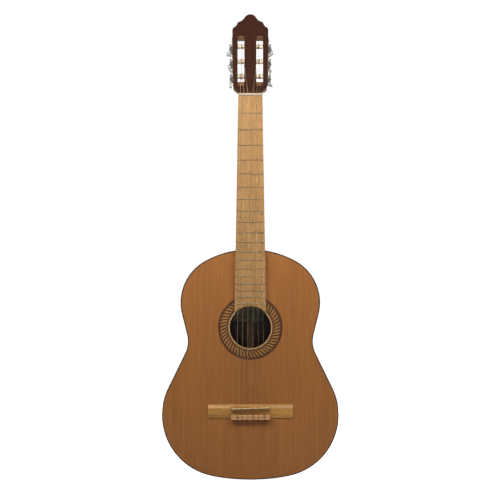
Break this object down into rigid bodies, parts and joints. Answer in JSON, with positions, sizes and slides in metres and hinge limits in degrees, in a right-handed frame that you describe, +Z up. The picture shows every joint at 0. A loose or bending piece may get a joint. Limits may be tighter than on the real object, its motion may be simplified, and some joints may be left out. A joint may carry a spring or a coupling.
{
  "type": "classical guitar",
  "caption": "Six-string classical guitar with a slotted head, worm-and-gear tuning machines, a braced hollow body, a tie bridge and nylon strings.",
  "frame": {"origin": "middle of the tail, on the outside of the body's sides, where a stand carries the guitar", "axes": "+Z up the centre line from the tail to the head, -Y out of the soundboard, away from the player, +X to the treble side"},
  "size_m": [0.3684, 0.1149, 0.974],
  "materials": {
    "top_wood": "satin varnished cedar, straight grain",
    "rosette_wood": "inlaid wood, rope pattern",
    "ring_wood": "light wood inlay",
    "binding_wood": "dark polished hardwood",
    "back_wood": "polished dark reddish brown hardwood",
    "neck_wood": "satin cedar",
    "veneer_wood": "polished rosewood",
    "board_wood": "oiled light brown hardwood",
    "bridge_wood": "varnished golden hardwood",
    "cap_wood": "varnished hardwood",
    "dot_wood": "dark inlay",
    "inner_wood": "bare spruce and cedar",
    "label_paper": "blank aged paper",
    "bone": "polished bone",
    "roller_bone": "cream roller",
    "fret_metal": "polished nickel silver with a brassy tone",
    "plate_metal": "polished, lightly tarnished",
    "screw_metal": "plain steel",
    "worm_steel": "polished steel",
    "gear_brass": "machined brass",
    "pearl_plastic": "pearly grey plastic",
    "nylon": "clear nylon",
    "wound_string": "silver plated copper winding"
  },
  "bodies": {
    "guitar": {"soundboard": "top_wood", "rosette": "rosette_wood", "soundhole_ring": "ring_wood", "top_binding": "binding_wood", "back_binding": "binding_wood", "back": "back_wood", "sides": "back_wood", "end_graft": "binding_wood", "tail_block": "inner_wood", "neck": "neck_wood", "heel_cap": "back_wood", "headstock": "neck_wood", "head_veneer": "veneer_wood", "fretboard": "board_wood", "frets": "fret_metal", "nut": "bone", "saddle": "bone", "bridge": "bridge_wood", "tie_block_cap": "cap_wood", "bridge_dots": "dot_wood", "top_lining": "inner_wood", "back_lining": "inner_wood", "cross_bars": "inner_wood", "fan_braces": "inner_wood", "back_braces": "inner_wood", "back_strip": "inner_wood", "label": "label_paper", "tuner_plates": "plate_metal", "plate_screws": "screw_metal", "worm_lugs": "plate_metal", "string_1": "nylon", "string_2": "nylon", "string_3": "nylon", "string_4": "wound_string", "string_5": "wound_string", "string_6": "wound_string"},
    "key_1": {"worm_1": "worm_steel", "button_1": "pearl_plastic"},
    "roller_1": {"roller_1": "roller_bone", "gear_1": "gear_brass"},
    "key_2": {"worm_2": "worm_steel", "button_2": "pearl_plastic"},
    "roller_2": {"roller_2": "roller_bone", "gear_2": "gear_brass"},
    "key_3": {"worm_3": "worm_steel", "button_3": "pearl_plastic"},
    "roller_3": {"roller_3": "roller_bone", "gear_3": "gear_brass"},
    "key_4": {"worm_4": "worm_steel", "button_4": "pearl_plastic"},
    "roller_4": {"roller_4": "roller_bone", "gear_4": "gear_brass"},
    "key_5": {"worm_5": "worm_steel", "button_5": "pearl_plastic"},
    "roller_5": {"roller_5": "roller_bone", "gear_5": "gear_brass"},
    "key_6": {"worm_6": "worm_steel", "button_6": "pearl_plastic"},
    "roller_6": {"roller_6": "roller_bone", "gear_6": "gear_brass"}
  },
  "joints": [
    {"name": "key_turn_1", "type": "hinge", "parent": "guitar", "child": "key_1", "pos_m": [0.04046, -0.03237, 0.83302], "axis": [0, 0.9659, -0.2588], "continuous": true},
    {"name": "roller_turn_1", "type": "hinge", "parent": "guitar", "child": "roller_1", "pos_m": [0.03607, -0.03028, 0.84083], "axis": [0.9999, -0.0045, -0.0166], "continuous": true},
    {"name": "key_turn_2", "type": "hinge", "parent": "guitar", "child": "key_2", "pos_m": [0.04103, -0.02383, 0.8649], "axis": [0, 0.9659, -0.2588], "continuous": true},
    {"name": "roller_turn_2", "type": "hinge", "parent": "guitar", "child": "roller_2", "pos_m": [0.03664, -0.02174, 0.8727], "axis": [0.9999, -0.0045, -0.0166], "continuous": true},
    {"name": "key_turn_3", "type": "hinge", "parent": "guitar", "child": "key_3", "pos_m": [0.0416, -0.01529, 0.89677], "axis": [0, 0.9659, -0.2588], "continuous": true},
    {"name": "roller_turn_3", "type": "hinge", "parent": "guitar", "child": "roller_3", "pos_m": [0.03721, -0.0132, 0.90458], "axis": [0.9999, -0.0045, -0.0166], "continuous": true},
    {"name": "key_turn_4", "type": "hinge", "parent": "guitar", "child": "key_4", "pos_m": [-0.0416, -0.01529, 0.89677], "axis": [0, 0.9659, -0.2588], "continuous": true},
    {"name": "roller_turn_4", "type": "hinge", "parent": "guitar", "child": "roller_4", "pos_m": [-0.03721, -0.0132, 0.90458], "axis": [0.9999, 0.0045, 0.0166], "continuous": true},
    {"name": "key_turn_5", "type": "hinge", "parent": "guitar", "child": "key_5", "pos_m": [-0.04103, -0.02383, 0.8649], "axis": [0, 0.9659, -0.2588], "continuous": true},
    {"name": "roller_turn_5", "type": "hinge", "parent": "guitar", "child": "roller_5", "pos_m": [-0.03664, -0.02174, 0.8727], "axis": [0.9999, 0.0045, 0.0166], "continuous": true},
    {"name": "key_turn_6", "type": "hinge", "parent": "guitar", "child": "key_6", "pos_m": [-0.04046, -0.03237, 0.83302], "axis": [0, 0.9659, -0.2588], "continuous": true},
    {"name": "roller_turn_6", "type": "hinge", "parent": "guitar", "child": "roller_6", "pos_m": [-0.03607, -0.03028, 0.84083], "axis": [0.9999, 0.0045, 0.0166], "continuous": true}
  ],
  "couplings": [
    {"joint": "roller_turn_1", "follows": "key_turn_1", "ratio": -0.071429},
    {"joint": "roller_turn_2", "follows": "key_turn_2", "ratio": -0.071429},
    {"joint": "roller_turn_3", "follows": "key_turn_3", "ratio": -0.071429},
    {"joint": "roller_turn_4", "follows": "key_turn_4", "ratio": -0.071429},
    {"joint": "roller_turn_5", "follows": "key_turn_5", "ratio": -0.071429},
    {"joint": "roller_turn_6", "follows": "key_turn_6", "ratio": -0.071429}
  ]
}
